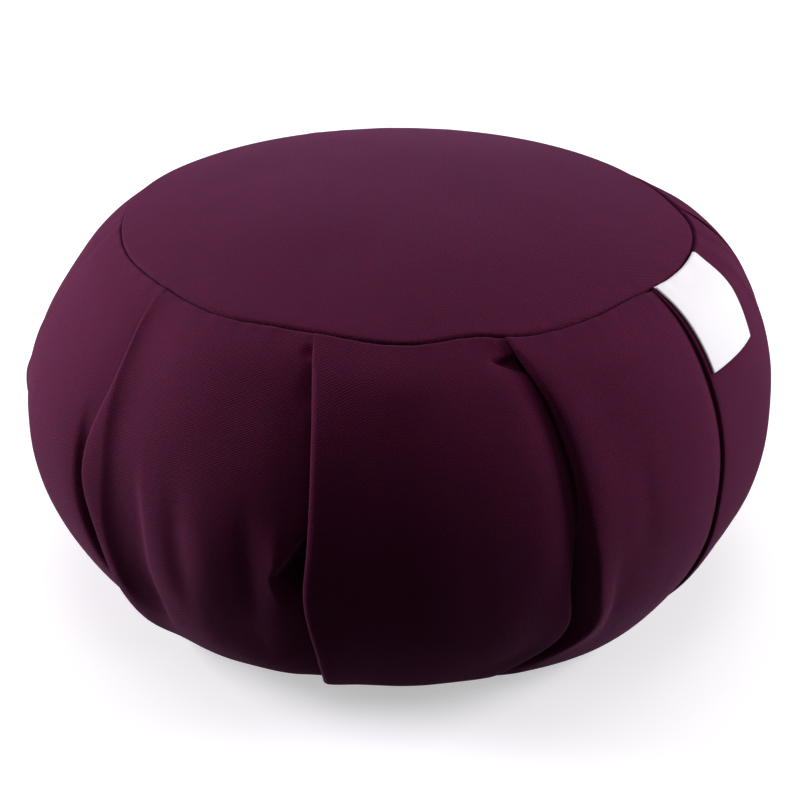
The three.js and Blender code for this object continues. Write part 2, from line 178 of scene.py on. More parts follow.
sideShape = {
    "girthRadius": 176.5,  # millimetres, as every size of the cushion is
    "bellyHeight": 92.0,  # the widest point, and so the half height of the lower arc
    "footCentre": 116.0,  # radius at which the lower arc has its centre
    "shoulderCentre": 97.0,  # and the upper arc
    "shoulderRise": 94.0,  # half height of the upper arc
    "bottomAngle": -76.0,  # section angles of the two seams, in degrees from the belly
    "topAngle": 62.0,
    "topShift": 1.5,  # how far the top seam lies to the right
    "seamSpread": 0.6,  # share of the seam's wander that goes outwards
    "seamDrop": 0.2,  # and downwards
    "seamReach": 15.0,  # section angle where the wander begins
    "seamRoll": 1.2,  # radius of the cloth's edge as it turns into a seam
    "seamGap": 0.6,  # between that edge and the top panel
    "gap": 0.3,  # between two pieces
    "cloth": 2.0,  # thickness of the top and bottom panels
    "flatRadius": 118.0,  # of the flat that it stands on
    "seatRadius": 60.0,  # of a ring in the hidden floor of the side
    "seatShares": (0.9, 0.76, 0.42),  # rings under the top panel, as shares of its radius
    "seatDrop": 0.4,  # how much lower than the gap they lie
    "edgeTurns": {"low": (180, 282, 6), "high": (68, 180, 7)},  # arc of each rolled edge and its steps
    "edgeDepth": {"low": 1.4, "high": 2.2},  # how far the cloth runs on behind it
    "leastNose": 0.1,  # least and greatest radius of a folded edge
    "noseRadius": 1.9,
    "noseShare": 0.42,  # most that it takes of the step from panel to panel
    "turnRadius": 0.35,  # of a fold's deep end
    "fullTuck": 6.0,  # depth at which a fold is fully formed
    "columnStep": 0.16,  # between columns where it is not
    "lipWidth": 13.0,
    "pinchWidth": 2.6,
    "wellPower": 2.5,
    "puffPower": 0.8,
    "bottomEase": 14,  # degrees from either seam over which a panel's fullness fades in
    "topEase": 16,
    "creaseScale": 88.0,  # length along the section for a radian of its angle
    "rows": 160,
    "rowCrowding": 0.06,  # rows and columns lie closer near the seams and folds
    "columnCrowding": 0.1,
    "stations": (-76, -50, -35, -10, 5, 35, 62),  # section angles of the tables below
}

# at each station: height of the folded edge, draw-in beside it and how far that reaches, depth of the
# fold (negative where the panel before it lies on top), distance of the lip's crest from the edge, depth
# and width of the well on the panel's own side, and extra draw-in right beside the edge
foldKinds = {
    "usual": {
        "lip": (1, 4, 4.5, 4, 3.5, 3, 0.5),
        "sink": (0, 2.5, 3, 2.5, 1.5, 1.5, 0.1),
        "reach": (12, 12, 12, 12, 12, 12, 12),
        "tuck": (2, 8, 9, 9, 9, 9, 5),
        "lead": (0, 0, 0, 0, 0, 0, 0),
        "well": (0, 0, 0, 0, 0, 0, 0),
        "wide": (9, 9, 9, 9, 9, 9, 9),
        "pinch": (0, 1, 1.2, 1.2, 1.2, 1, 0),
    },
    "opened": {
        "lip": (1, 1.5, 3, 4, 3.4, 2.8, 0.7),
        "sink": (-0.3, -1.8, -1.5, 0.5, 2.5, 2.5, 0.1),
        "reach": (12, 12, 10, 8, 9, 9, 12),
        "tuck": (0, -7, -8, -6, 2, 9, 5),
        "lead": (0, 5, 7, 7, 6, 5, 0),
        "well": (0, 4, 17, 15, 4, 0.8, 0),
        "wide": (6, 6.5, 7, 6, 3, 3, 3),
        "pinch": (0, 0, 0, 0, 1.2, 1.2, 0),
    },
    "narrow": {
        "lip": (1, 1.6, 1.5, 1.2, 1.2, 1.3, 0.5),
        "sink": (0, 0.8, 0.8, 0.7, 0.7, 0.8, 0.1),
        "reach": (8, 7, 6, 5, 5, 5, 6),
        "tuck": (2, 8, 9, 9, 9, 9, 5),
        "lead": (0, 0, 0, 0, 0, 0, 0),
        "well": (0, 0, 0, 0, 0, 0, 0),
        "wide": (9, 9, 9, 9, 9, 9, 9),
        "pinch": (0, 0, 0, 0, 0, 0, 0),
    },
}

# each pleat: its kind, and its azimuth at each station
pleatColumns = ("kind", "azimuths")
pleatRows = (
    ("narrow", (-88, -88, -87, -87, -87, -87, -88)),
    ("usual", (-51, -49, -48.2, -48.7, -50.7, -49.3, -53.3)),
    ("usual", (-15, -12.5, -12.2, -13.1, -12.4, -13.1, -16.2)),
    ("opened", (17, 20, 25.5, 24.9, 25.3, 22.9, 18)),
    ("narrow", (58, 58, 56.5, 53.8, 53.9, 53.5, 53.6)),
    ("narrow", (96, 95, 94, 94, 94, 95, 97)),
    ("usual", (128, 126, 125, 124, 124, 125, 127)),
    ("usual", (161, 160, 159, 159, 158, 159, 161)),
    ("usual", (197, 195, 194, 195, 195, 196, 198)),
    ("usual", (234, 233, 232, 232, 233, 234, 235)),
)
pleats = [dict(zip(pleatColumns, row)) for row in pleatRows]

# each panel, from its own pleat to the next: how far it stands out at the foot, belly and shoulder, its
# fullness, how far the top seam wanders out near the pleat, in the middle and before the next one, and
# how many columns it has
panelColumns = ("foot", "belly", "shoulder", "fullness", "seamNear", "seamMiddle", "seamFar", "columns")
panelRows = (
    (-1.5, 3.2, -4, 2.5, 2, 0, -2, 64),
    (-2, 0, 0, 2, -2, 1, -2, 76),
    (-3, 0, 0, 2, -1, 4, -1, 76),
    (-3, 0.5, 0, 3, 3.5, 2, -1, 76),
    (-1.2, 0.7, 2, 2, 2, 5, 4, 56),
    (-3, 1.5, 1.2, 2, -1, -6, -7, 40),
    (-2, 0, -4.5, 2.5, -8, -9, -7, 40),
    (-2, 0, 0, 2.5, -4, 0, 1, 40),
    (-2, 0, -1, 2.5, 2, 3, 4, 40),
    (-3, 2.7, -3.5, 2.5, 6, 6, 3, 44),
)
panels = [dict(zip(panelColumns, row)) for row in panelRows]
seamPlaces = {"seamNear": 0.04, "seamMiddle": 0.5, "seamFar": 0.86}  # shares of the way along a panel
driftBells = {"foot": (-45, 25), "belly": (0, 30), "shoulder": (38, 24)}  # section angle and width

# hollows (negative) and ridges: panel, azimuth, section angle, half width, half length, height, slant
dents = (
    (0, -87, 3, 9, 9, 2.2, 0),
    (0, -80, -19, 15, 13, -2.2, 0),
    (1, -32.5, -6, 6, 28, -1.5, 0),
    (1, -27.5, -8, 7, 22, 0.6, 0),
    (1, -22, -24, 22, 24, -3.2, 0),
    (1, -21.2, -6, 5, 24, -1.5, 0),
    (1, -16.8, -5, 4.5, 17, 2.1, 0),
    (1, -14.6, 47, 3.5, 9, -1.6, 0),
    (1, -16.0, 56.5, 3, 3, -1.3, 0),
    (2, 19.6, 54.6, 7, 12, -1.6, 90),
    (3, 36, 8, 5, 22, -0.5, 4),
    (4, 80, 40, 4, 40, 0.8, 4),
    (4, 86, 40, 3, 40, -0.9, 4),
)

# pockets with steep edges: panel, azimuth, section angle, half width, half length, depth, slant, and how
# much the far end narrows
pockets = (
    (1, -13.3, -6.5, 11.5, 18.5, 16, 0, 0.75),
    (2, 19.8, 54.8, 4.5, 13, 2.8, 90, 0.7),
    (3, 26.2, -11, 4.5, 20, 3, 10, 0),
)

# sharp creases: panel, section angles and azimuths along the crest, depth, how far the steep fall and the
# slow recovery beside it run, and whether they lie on its right (1) or its left (-1)
creases = (
    (0, (-38, -15, 0, 28), (-53.0, -53.4, -53.8, -54.4), 4.5, 2.5, 40, 1),
    (1, (-40, -5, 12, 28, 45, 70), (-45, -46.4, -46.3, -47.4, -49.6, -53.5), 1.8, 5, 14, 1),
    (1, (-46, -20, -5, 22), (-38.5, -38.9, -38.6, -39.5), 2.4, 2, 12, -1),
    (3, (-40, -24, -14, 0), (32.4, 31.9, 31.1, 30.9), 1.2, 1.2, 5, 1),
)
# square millimetres that round the crest off, and the degrees over which either end fades
creaseEnds = {"crestRound": 0.8, "lowEase": 16, "highEase": 26}

# lumps and puckers: height, cells round, rows up, and the seed of each
sideLumps = {
    "lump": (0.9, 17, 4, 3),
    "smallLump": (0.35, 41, 9, 5),
    "drag": (0.45, 83, 3, 8),
    "pucker": (0.3, 190, 12, 11),
}
lumpEase = 0.12  # share of the height over which the lumps fade in from either seam
dragBell = (-18, 30)  # section angle and width of the band of drag lines
dragLean = 0.01  # turns that a drag line leans from seam to seam
puckerReach = {"top": 7 / 1.5, "bottom": 7 / 1.3}  # degrees of section angle


def section(angle):
    # two elliptical arcs that meet at the belly: radius, height and the outward normal's two parts
    side = sideShape
    low = angle < 0
    centre = np.where(low, side["footCentre"], side["shoulderCentre"])
    halfWidth = side["girthRadius"] - centre
    halfHeight = np.where(low, side["bellyHeight"], side["shoulderRise"])
    turn = np.radians(angle)
    across, up = np.cos(turn) / halfWidth, np.sin(turn) / halfHeight
    length = np.hypot(across, up)
    radius = centre + halfWidth * np.cos(turn)
    return radius, side["bellyHeight"] + halfHeight * np.sin(turn), across / length, up / length


def foldAzimuth(k, angle):
    # the line of pleat k, which counts on round the cushion past the last pleat
    turns, k = divmod(k, len(pleats))
    return smoothCurve(angle, sideShape["stations"], pleats[k]["azimuths"]) + 360 * turns


def foldValue(k, what, angle):
    # one of the measures of pleat k's kind, as a smooth curve through the stations
    kind = foldKinds[pleats[k % len(pleats)]["kind"]]
    return smoothCurve(angle, sideShape["stations"], kind[what])


panelMiddles = [
    float(foldAzimuth(k, np.array(0.0)) + foldAzimuth(k + 1, np.array(0.0))) / 2
    for k in range(len(panels))
]


def drift(azimuth, angle):
    # slow change from panel to panel: a bell about each of three heights
    total = 0.0
    for name, (level, width) in driftBells.items():
        stands = roundCurve(azimuth, panelMiddles, [panel[name] for panel in panels])
        total = total + stands * bump(angle - level, width)
    return total


def dentAxes(azimuth, angle, middle, level, slant):
    # millimetres across and along a dent from its middle, turned by its slant
    x = np.radians(azimuth - middle) * section(angle)[0]
    y = np.radians(angle - level) * sideShape["creaseScale"]
    turn = math.radians(slant)
    return x * math.cos(turn) + y * math.sin(turn), y * math.cos(turn) - x * math.sin(turn)


def dentHeight(k, azimuth, angle):
    # a bell across the dent, that ends with the cube of the distance along it
    total = 0.0
    for panel, middle, level, across, along, height, slant in dents:
        if panel == k:
            x, y = dentAxes(azimuth, angle, middle, level, slant)
            total = total + height * np.exp(-((x / across) ** 2) - np.abs(y / along) ** 3)
    return total


def pocketDepth(k, azimuth, angle):
    # falls off with the eighth power of the distance, so that the floor is flat and the edge steep
    total = 0.0
    for panel, middle, level, across, along, depth, slant, taper in pockets:
        if panel == k:
            x, y = dentAxes(azimuth, angle, middle, level, slant)
            x, y = x / across, y / along
            x = x / (1 - taper * np.clip(y, 0, 1))
            total = total + depth * np.exp(-((x**2 + y**2) ** 4))
    return total


def creaseDepth(k, azimuth, angle):
    # the difference of two decays that start at the crest, scaled so that its lowest point has the
    # crease's depth; the crest is rounded off and both ends are eased
    total = 0.0
    for panel, angles, azimuths, depth, fall, reach, way in creases:
        if panel == k:
            x = np.radians(azimuth - smoothCurve(angle, angles, azimuths)) * section(angle)[0] * way
            x = (x + np.sqrt(x**2 + creaseEnds["crestRound"])) / 2
            lowest = math.log(reach / fall) * fall * reach / (reach - fall)
            deepest = math.exp(-lowest / reach) - math.exp(-lowest / fall)
            ends = ease((angle - angles[0]) / creaseEnds["lowEase"])
            ends = ends * ease((angles[-1] - angle) / creaseEnds["highEase"])
            total = total + depth / deepest * ends * (np.exp(-x / reach) - np.exp(-x / fall))
    return total


def panelHeight(k, share, angle):
    # height over the section at a share from pleat k to the next: fullness as a sine, a lip at the
    # panel's own fold, a draw-in before the next one with a narrow pinch right beside it, and a well
    # along its own fold that fades with a power of the distance
    side = sideShape
    left, right = foldAzimuth(k, angle), foldAzimuth(k + 1, angle)
    azimuth = left + (right - left) * share
    width = np.radians(right - left) * section(angle)[0]
    near, far = share * width, (1 - share) * width
    fade = ease((angle - side["bottomAngle"]) / side["bottomEase"])
    fade = fade * ease((side["topAngle"] - angle) / side["topEase"])
    turns, panel = divmod(k, len(panels))
    puff = panels[panel]["fullness"] * fade * np.sin(np.pi * np.clip(share, 0, 1)) ** side["puffPower"]
    lip = foldValue(k, "lip", angle) * bump(near - foldValue(k, "lead", angle), side["lipWidth"])
    sink = foldValue(k + 1, "sink", angle) * bump(far, foldValue(k + 1, "reach", angle))
    sink = sink + foldValue(k + 1, "pinch", angle) * bump(far, side["pinchWidth"])
    fromFold = near / foldValue(k, "wide", angle)
    well = foldValue(k, "well", angle) * np.exp(-(fromFold ** side["wellPower"]))
    here = azimuth - 360 * turns
    dented = dentHeight(panel, here, angle) - pocketDepth(panel, here, angle)
    dented = dented - creaseDepth(panel, here, angle)
    return azimuth, drift(azimuth, angle) + puff + lip - sink - well + dented


def foldPath(tuck, bed, outer, nose):
    # the fold as (x, height) pairs from the panel below it to the folded edge: in along the bed, round
    # the deep end, back under the panel above, and round the edge as half a circle
    turn = sideShape["turnRadius"]
    back = np.linspace(0, 1, 5)[1:]
    path = [(tuck * t, bed) for t in (0.25, 0.5, 0.75, 1)]
    path += [(tuck + turn, bed + turn), (tuck, bed + 2 * turn)]
    under = outer - 2 * nose
    path += [(tuck + (nose - tuck) * t, bed + 2 * turn + (under - bed - 2 * turn) * t) for t in back]
    for t in np.linspace(0, math.pi, 8)[1:]:
        path.append((nose * (1 - math.sin(t)), outer - nose - nose * math.cos(t)))
    return path


def sideGrid(angles):
    # every row of the side: azimuth, height over the section, and the cloth's own measure across
    side = sideShape
    angle = angles[:, None]
    radius = section(angle)[0]
    azimuths, heights, measures = [], [], []
    for k in range(len(pleats)):
        tuck = foldValue(k, "tuck", angle)
        formed = np.clip(np.abs(tuck) / side["fullTuck"], 0, 1)
        edge = foldAzimuth(k, angle)
        before = panelHeight(k - 1, np.ones_like(angle), angle)[1]
        after = panelHeight(k, np.zeros_like(angle), angle)[1]
        nose = np.clip(side["noseShare"] * np.abs(after - before), side["leastNose"], side["noseRadius"])
        over = foldPath(np.abs(tuck), before, after, nose)
        under = [(-x, h) for x, h in reversed(foldPath(np.abs(tuck), after, before, nose))]
        count = len(over)
        width = np.radians(foldAzimuth(k + 1, angle) - edge) * radius
        for j in range(count):
            share = j / (count - 1)
            x = np.where(tuck >= 0, over[j][0], under[j][0])
            h = np.where(tuck >= 0, over[j][1], under[j][1])
            flatX = (j - (count - 1) / 2) * side["columnStep"]
            flatH = before + (after - before) * ease(share)
            x, h = flatX + (x - flatX) * formed, flatH + (h - flatH) * formed
            azimuths.append(edge + np.degrees(x / radius))
            heights.append(h + 0 * radius)
            measures.append(np.where(j < count // 3, 1, -1) * width / 2 + x)
        halfFold = (count + 1) / 2 * side["columnStep"]
        nextTuck = foldValue(k + 1, "tuck", angle)
        nextFormed = np.clip(np.abs(nextTuck) / side["fullTuck"], 0, 1)
        nextNose = side["noseRadius"] * (nextTuck < 0) * nextFormed
        first = np.where(tuck >= 0, nose, 0) * formed + (halfFold - side["columnStep"]) * (1 - formed)
        last = width - nextNose - halfFold * (1 - nextFormed)
        steps = panels[k]["columns"] + 1
        for j in range(1, steps + 1):
            share = j / steps
            share -= side["columnCrowding"] * math.sin(2 * math.pi * share)
            x = first + (last - first) * share
            azimuth, height = panelHeight(k, x / width, angle)
            azimuths.append(azimuth)
            heights.append(height)
            measures.append(x - width / 2)
    return (np.concatenate(rows, 1) for rows in (azimuths, heights, measures))


def seamWander(azimuth):
    # how far the top seam stands outwards
    places, values = [], []
    top = np.array(sideShape["topAngle"])
    for k, panel in enumerate(panels):
        left, right = foldAzimuth(k, top), foldAzimuth(k + 1, top)
        places += [float(left + (right - left) * share) for share in seamPlaces.values()]
        values += [panel[name] for name in seamPlaces]
    return roundCurve(azimuth, places, values)


def onSide(azimuth, angle, height):
    # the section's point, moved out by its height and by the seam's wander
    side = sideShape
    radius, level, across, up = section(angle)
    reach = ease((angle - side["seamReach"]) / (side["topAngle"] - side["seamReach"])) ** 2
    wander = seamWander(azimuth) * reach
    shift = side["topShift"] * ease(angle / side["topAngle"])
    return (
        radius + height * across + side["seamSpread"] * wander,
        level + height * up - side["seamDrop"] * wander,
        shift + 0 * azimuth,
    )


def sideUnevenness(azimuth, angle):
    # the filling's lumps, upright drag lines low on the panels, and small puckers along both seams
    bottom, top = sideShape["bottomAngle"], sideShape["topAngle"]
    around, up = azimuth / 360, (angle - bottom) / (top - bottom)

    def rough(name, across):
        height, cells, rows, seed = sideLumps[name]
        return height * softNoise(across, up, cells, rows, seed)

    inner = ease(up / lumpEase) * ease((1 - up) / lumpEase)
    lumps = rough("lump", around) + rough("smallLump", around)
    drags = rough("drag", around + dragLean * up) * bump(angle - dragBell[0], dragBell[1])
    nearSeams = np.exp((angle - top) / puckerReach["top"]) + np.exp((bottom - angle) / puckerReach["bottom"])
    return (lumps + drags) * inner + rough("pucker", around) * nearSeams


def seamEdge(angle, azimuth, height):
    # radius, height and sideways shift of the centre of the roll that turns the cloth in at a seam
    radius, level, shift = onSide(azimuth, angle, height)
    across, up = section(angle)[2:]
    roll = sideShape["seamRoll"]
    return radius - roll * across, level - roll * up, shift


def upBy(height):
    return np.array([0, 0, height])


def rolledEdge(end, row, angle, azimuth, height):
    # rings round the cloth's edge as it turns into the seam
    start, stop, count = sideShape["edgeTurns"][end]
    turns = np.linspace(start, stop, count + 1)
    turns = turns[:-1] if end == "low" else turns[1:]
    roll, turn = sideShape["seamRoll"], np.radians(turns)[:, None]
    centre, middle, lean = seamEdge(np.array(angle), azimuth[row], height[row])
    return polar(azimuth[row], centre + roll * np.cos(turn), middle + roll * np.sin(turn), lean)


def makeSide():
    # the wall's rows, then a rolled edge and a hidden floor at either end, closed as one filled body
    side = sideShape
    steps = np.linspace(0, 1, side["rows"])
    steps = steps - side["rowCrowding"] * np.sin(2 * np.pi * steps)
    angles = side["bottomAngle"] + (side["topAngle"] - side["bottomAngle"]) * steps
    azimuth, height, measure = sideGrid(angles)
    height = height + sideUnevenness(azimuth, angles[:, None])
    radius, level, shift = onSide(azimuth, angles[:, None], height)
    wall = polar(azimuth, radius, level, shift)
    low = rolledEdge("low", 0, side["bottomAngle"], azimuth, height)
    high = rolledEdge("high", -1, side["topAngle"], azimuth, height)
    seat = side["cloth"] + side["gap"]
    crownSeat = upBy(seat + side["seatDrop"])
    floorRadii = np.array([side["seatRadius"], side["flatRadius"]])[:, None]
    below = polar(azimuth[:1], floorRadii, seat)
    below = np.concatenate([below, low[:1] + upBy(side["edgeDepth"]["low"]), low])
    above = np.stack([crownPoint(azimuth[-1], share) - crownSeat for share in side["seatShares"]])
    above = np.concatenate([high, high[-1:] - upBy(side["edgeDepth"]["high"]), above])
    rings = np.concatenate([below, wall, above])
    along = np.concatenate([[0], np.cumsum(np.hypot(*np.diff(section(angles)[:2], axis=1)))])
    along = np.concatenate([-np.arange(len(below), 0, -1), along, along[-1] + np.arange(1, len(above) + 1)])
    ends = np.repeat(measure[:1], len(below), 0), np.repeat(measure[-1:], len(above), 0)
    across = np.concatenate([ends[0], measure, ends[1]])
    across = np.concatenate([across, across[:, :1]], 1)
    uv = np.stack([across, np.broadcast_to(along[:, None], across.shape)], -1)
    return roundSkin("pleatedSide", rings, uv, upBy(seat), crownPoint(np.array(0.0), 0.0) - crownSeat)


# the top panel: a round of cloth, crowned by the filling, with its rim turned into the seam

topShape = {
    "crownRise": 22.2,  # of the middle over the seam
    "crownPower": 2.4,
    "rimStand": 1.0,  # how proud of the side its rim stands
    "rimRoll": 1.6,  # radius of its edge as it turns into the seam
    "rimTurns": (-10, 68, 7),  # arc of that edge and its rings
    "rimMeet": 0.671,  # share of the roll's radius down to its centre, where it meets the dome's own slope
    "edgeDrop": 1.8,  # how far the cloth runs on below it
    "rings": 70,
    "ringCrowding": 1.25,
    "outerShare": 0.985,  # of the dome's outermost ring
    "underShares": (0.3, 0.6, 0.8, 0.93),
    "columns": 560,
    "lumps": ((0.5, 5, 21), (0.2, 12, 22)),  # height, cells across, seed
    "lumpSpan": 300,  # width of the square that the cells fill
    "lumpEase": 0.12,  # share of the radius over which they fade in from the seam
    "puckers": (0.25, 170, 24),  # height, cells round, seed
    "puckerReach": 6 / 130,  # as a share of the radius
}


def crownPoint(azimuth, share):
    # a dome over the plain seam, a little proud of the side: its fall from the middle grows with a power
    # of the share
    crown, roll = topShape, sideShape["seamRoll"]
    top = np.array(sideShape["topAngle"])
    centre, level, shift = seamEdge(top, azimuth, 0.0)
    rim = level + roll + crown["rimStand"]
    middle = section(top)[1] + crown["crownRise"]
    height = rim + (middle - rim) * (1 - share ** crown["crownPower"])
    return polar(azimuth, (centre - roll - sideShape["seamGap"]) * share, height, shift)


def makeTop():
    # a crowned dome with small lumps, its rolled edge, and its underside a cloth's thickness below
    crown, side = topShape, sideShape
    azimuth = np.linspace(0, 360, crown["columns"], endpoint=False)
    shares = 1 - np.linspace(0, 1, crown["rings"]) ** crown["ringCrowding"]
    shares = shares[1:-1] * crown["outerShare"]
    dome = np.stack([crownPoint(azimuth, share) for share in shares])
    x, y = dome[..., 0] / crown["lumpSpan"] + 0.5, dome[..., 1] / crown["lumpSpan"] + 0.5
    lumps = sum(height * softNoise(x, y, cells, cells, seed) for height, cells, seed in crown["lumps"])
    height, cells, seed = crown["puckers"]
    puckers = height * softNoise(azimuth / 360, np.zeros_like(azimuth), cells, 1, seed)
    nearRim = np.exp(-(1 - shares) / crown["puckerReach"])[:, None]
    dome[..., 2] += lumps * ease((1 - shares) / crown["lumpEase"])[:, None] + puckers * nearRim
    rim = crownPoint(azimuth, 1.0)
    turns = np.radians(np.linspace(*crown["rimTurns"]))[:, None]
    centre = np.hypot(rim[:, 0] - side["topShift"], rim[:, 1]) + crown["rimRoll"] * (np.cos(turns) - 1)
    level = rim[:, 2] + crown["rimRoll"] * (np.sin(turns) - crown["rimMeet"])
    roll = polar(azimuth, centre, level, side["topShift"])
    under = np.stack([crownPoint(azimuth, share) - upBy(side["cloth"]) for share in crown["underShares"]])
    rings = np.concatenate([under, roll[:1] - upBy(crown["edgeDrop"]), roll, dome])
    uv = np.concatenate([rings[..., :2], rings[:, :1, :2]], 1)
    middle = crownPoint(np.array(0.0), 0.0)
    return roundSkin("topPanel", rings, uv, middle - upBy(side["cloth"]), middle)


# the bottom panel: flat where it rests, and rising to the bottom seam

bottomShape = {
    "columns": 300,
    "rimTurns": (-62, 0, 7),  # arc of the edge that turns up into the seam and its rings
    "rimDepth": 1.1,  # how far the cloth runs on above it
    "rimClear": 0.1,  # over the gap
    "slopeRings": 5,  # between the flat and the rolled edge
    "slopePower": 1.6,
    "floorRadii": (20, 50, 80, 105),
    "upperRadii": (80, 40),
}


def makeBottom():
    # a flat floor that rises to the seam with a power of the distance, a rolled edge, and its upper face
    base, side = bottomShape, sideShape
    azimuth = np.linspace(0, 360, base["columns"], endpoint=False)

    def ring(radius, height):
        return polar(azimuth, np.full(base["columns"], radius), height)

    centre, level, _ = seamEdge(np.array(side["bottomAngle"]), azimuth, 0.0)
    centre = centre - side["seamRoll"] * 2 - side["gap"] - base["rimClear"]
    turns = np.radians(np.linspace(*base["rimTurns"]))[:, None]
    bend = side["seamRoll"]
    roll = polar(azimuth, centre + bend * np.cos(turns), level + bend * np.sin(turns))
    edge = roll[-1:] + upBy(base["rimDepth"])
    flat = side["flatRadius"]
    start = np.hypot(roll[0, :, 0], roll[0, :, 1]) - flat
    steps = np.linspace(0, 1, base["slopeRings"] + 2)[1:-1, None]
    slope = polar(azimuth, flat + start * steps, roll[0, :, 2] * steps ** base["slopePower"])
    floor = np.stack([ring(radius, 0.0) for radius in (*base["floorRadii"], flat)])
    upper = np.stack([ring(radius, side["cloth"]) for radius in (flat, *base["upperRadii"])])
    rings = np.concatenate([floor, slope, roll, edge, upper])
    uv = np.concatenate([rings[..., :2], rings[:, :1, :2]], 1)
    return roundSkin("bottomPanel", rings, uv, np.zeros(3), upBy(side["cloth"]))


# the label: a strip of white cloth folded double, its two ends sewn into the top seam

labelShape = {
    "panel": 4,  # the panel that it lies on, counted from 0
    "hemAngle": 32.5,  # section angle of its hem
    "topSides": (54.3, 74.2),  # azimuths of its two sides at the seam
    "hemSides": (54.3, 69.0),  # and at the hem
    "clear": 0.35,  # between the side and its inner layer
    "fold": 0.3,  # half the distance between its layers
    "cloth": 0.28,
    "rollTurns": (112, 102, 92, 82, 72),  # turns of its rows round the seam's edge
    "hemTurns": 5,
    "columns": 41,
    "rows": 44,
}


def labelFace(lift):
    # a patch of the side between the label's corners, lifted off it; its first rows go round the seam
    label, side = labelShape, sideShape
    ups = np.concatenate([np.ones(len(label["rollTurns"])), np.linspace(1, 0, label["rows"])])[:, None]
    angle = label["hemAngle"] + (side["topAngle"] - label["hemAngle"]) * ups
    left, right = (hem + (top - hem) * ups for hem, top in zip(label["hemSides"], label["topSides"]))
    azimuth = left + (right - left) * np.linspace(0, 1, label["columns"])
    start, end = foldAzimuth(label["panel"], angle), foldAzimuth(label["panel"] + 1, angle)
    height = panelHeight(label["panel"], (azimuth - start) / (end - start), angle)[1]
    height = height + sideUnevenness(azimuth, angle)
    face = polar(azimuth, *onSide(azimuth, angle, height + lift))
    count = len(label["rollTurns"])
    centre, level, shift = seamEdge(angle[:count], azimuth[:count], height[:count])
    turn = np.radians(np.array(label["rollTurns"]))[:, None]
    reach = side["seamRoll"] + lift
    centre, level = centre + reach * np.cos(turn), level + reach * np.sin(turn)
    face[:count] = polar(azimuth[:count], centre, level, shift)
    return face


def makeLabel():
    # the outer layer, half a circle round the hem, and the inner layer back up, as one strip of cloth
    label = labelShape
    outer = labelFace(label["clear"] + 2 * label["fold"])
    inner = labelFace(label["clear"])[::-1]
    middle = (outer[-1] + inner[0]) / 2
    down = outer[-1] - outer[-2]
    down = down / np.linalg.norm(down, axis=1, keepdims=True)
    out = (outer[-1] - inner[0]) / 2
    turns = np.linspace(math.pi / 2, -math.pi / 2, label["hemTurns"] + 2)[1:-1, None, None]
    hem = middle + out * np.sin(turns) + down * label["fold"] * np.cos(turns)
    rows = np.concatenate([outer, hem, inner])
    count, columns = rows.shape[:2]
    i, j = np.meshgrid(np.arange(count - 1), np.arange(columns - 1), indexing="ij")
    a = i * columns + j
    quads = np.stack([a + columns, a + columns + 1, a + 1, a], -1).reshape(-1, 4)
    steps = np.linalg.norm(np.diff(rows[:, columns // 2], axis=0), axis=1)
    along = np.concatenate([[0], np.cumsum(steps)])
    width = np.linalg.norm(np.diff(outer[-1], axis=0), axis=1).sum()
    across = np.linspace(0, width, columns)
    uv = np.stack(np.broadcast_arrays(across[None], -along[:, None]), -1)
    quadUv = np.stack([uv[1:, :-1], uv[1:, 1:], uv[:-1, 1:], uv[:-1, :-1]], 2).reshape(-1, 4, 2)
    none = np.zeros((0, 3), int)
    piece = addSurface("sideLabel", rows.reshape(-1, 3), quads, none, quadUv, np.zeros((0, 3, 2)))
    thicken = piece.modifiers.new("thicken", "SOLIDIFY")
    thicken.thickness = label["cloth"] * mm
    thicken.offset = -1
    return piece, (width * mm, float(along[-1]) * mm)


sidePiece = makeSide()
print("pleated side made:", len(sidePiece.data.polygons), "faces")
topPiece = makeTop()
bottomPiece = makeBottom()
labelPiece, labelFlat = makeLabel()
print("panels and label made, label cut", [round(x, 4) for x in labelFlat])


# shader node helpers


def addNode(tree, kind, place, values=None, **settings):
    # a node with its settings, and with the plain values of its inputs
    node = tree.nodes.new(kind)
    node.location = place
    for key, value in settings.items():
        setattr(node, key, value)
    for socket, value in (values or {}).items():
        node.inputs[socket].default_value = value
    return node


def mathNode(tree, operation, place, first, second=None, third=None, clamp=False):
    # a Math node whose inputs are sockets or numbers
    node = addNode(tree, "ShaderNodeMath", place, operation=operation, use_clamp=clamp)
    for i, value in enumerate((first, second, third)):
        if isinstance(value, bpy.types.NodeSocket):
            tree.links.new(value, node.inputs[i])
        elif value is not None:
            node.inputs[i].default_value = value
    return node.outputs[0]


def makeGroup(name, inputs, outputs):
    # an empty shader node group with named inputs and outputs
    tree = bpy.data.node_groups.new(name, "ShaderNodeTree")
    for label, kind, value in inputs:
        socket = tree.interface.new_socket(label, in_out="INPUT", socket_type=kind)
        if value is not None:
            socket.default_value = value
    for label, kind in outputs:
        tree.interface.new_socket(label, in_out="OUTPUT", socket_type=kind)
    entry = addNode(tree, "NodeGroupInput", (-1200, 0))
    leave = addNode(tree, "NodeGroupOutput", (900, 0))
    return tree, entry, leave


twillShape = {
    "slant": -0.55,  # minus the climb of a rib for each millimetre across
    "threadShare": 0.35,  # of the threads that cross a rib, against the rib itself
    "slubScales": ((3.0, 0.12, 1), (0.12, 3.0, 1)),  # noise drawn out along either thread direction
    "fuzzScale": 2.2,  # cells to a millimetre
    "fuzz": 1.6,  # factor on the grain
    "ribHeight": 0.26,
    "ribShade": 0.18,
}


